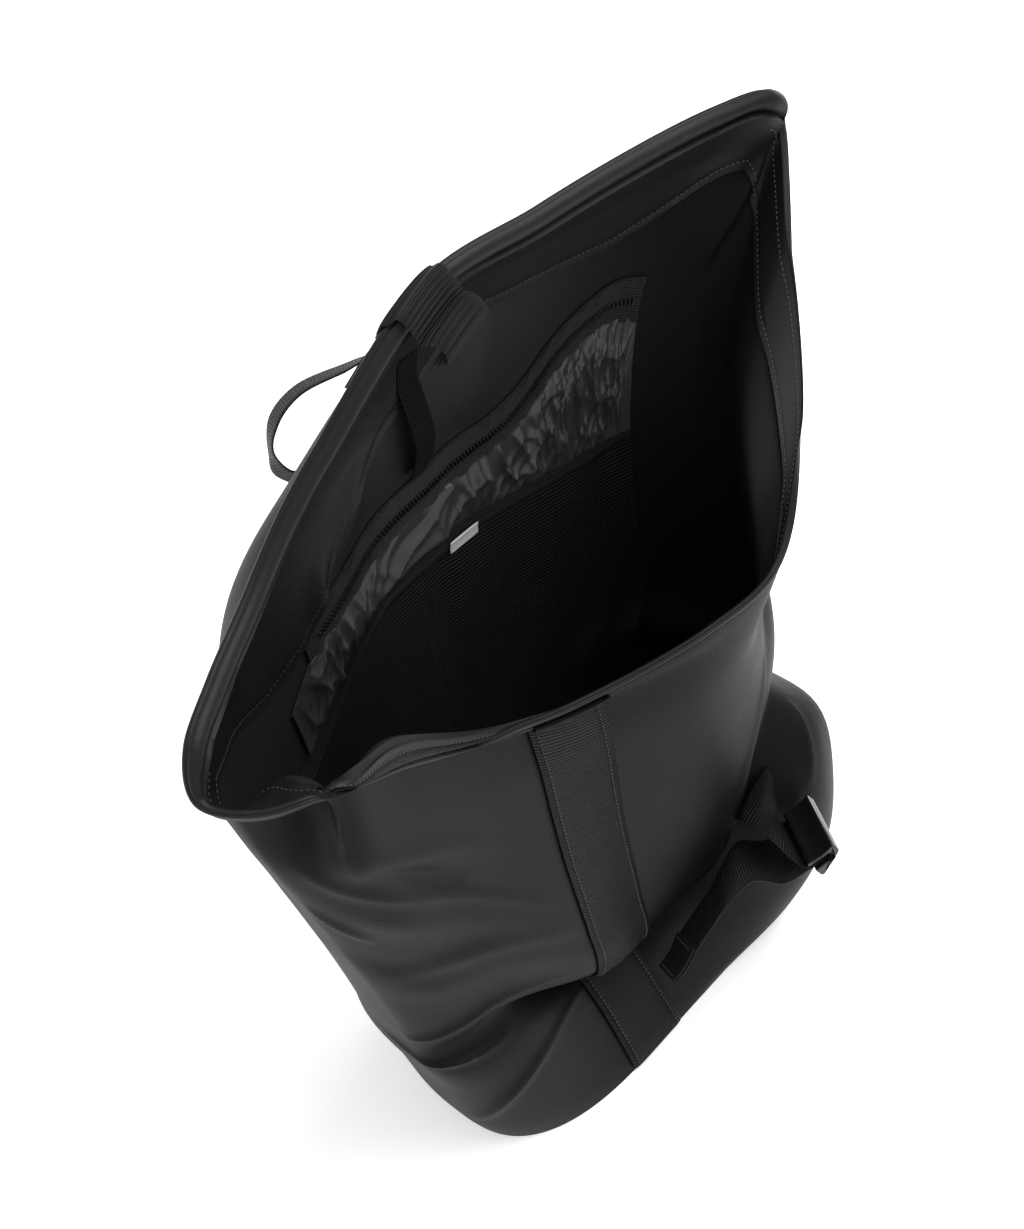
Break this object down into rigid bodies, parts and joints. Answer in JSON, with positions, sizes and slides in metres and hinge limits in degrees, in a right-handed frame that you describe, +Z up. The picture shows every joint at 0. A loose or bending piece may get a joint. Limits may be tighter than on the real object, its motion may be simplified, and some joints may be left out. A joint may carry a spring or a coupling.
{
  "type": "rolltop backpack",
  "caption": "Rolltop backpack standing open, its mouth facing wide, the front slumped over a fold, with webbing, side buckle, grab handle, sleeve and straps.",
  "frame": {"origin": "middle of the base on the floor, under the middle of the body's width and depth", "axes": "+X towards the bag's left as it is worn, which is the right of the picture; -Y the front with the long webbing; +Z up"},
  "size_m": [0.4994, 0.2803, 0.6007],
  "materials": {
    "coated_fabric": "matte coated",
    "webbing": "ribbed woven",
    "padded_lining": "knitted, padded",
    "binding": "bound edge tape",
    "light_fabric": "thin, creased",
    "zip_plastic": "moulded coil",
    "label": "plain woven",
    "buckle_plastic": "glossy"
  },
  "bodies": {
    "root": {"bag_shell": "coated_fabric", "mouth_facing": "coated_fabric", "front_webbing": "webbing", "rim_tab": "webbing", "grab_handle": "webbing", "laptop_sleeve": "padded_lining", "sleeve_binding": "binding", "zip_tape": "webbing", "zip_coil": "zip_plastic", "pocket_fabric": "light_fabric", "hang_loop": "webbing", "inner_label": "label", "back_panel": "padded_lining", "shoulder_strap_left": "padded_lining", "shoulder_strap_right": "padded_lining", "lower_webbing_left": "webbing", "lower_webbing_right": "webbing", "side_buckle": "buckle_plastic", "side_strap": "webbing", "strap_tail": "webbing"}
  },
  "joints": []
}
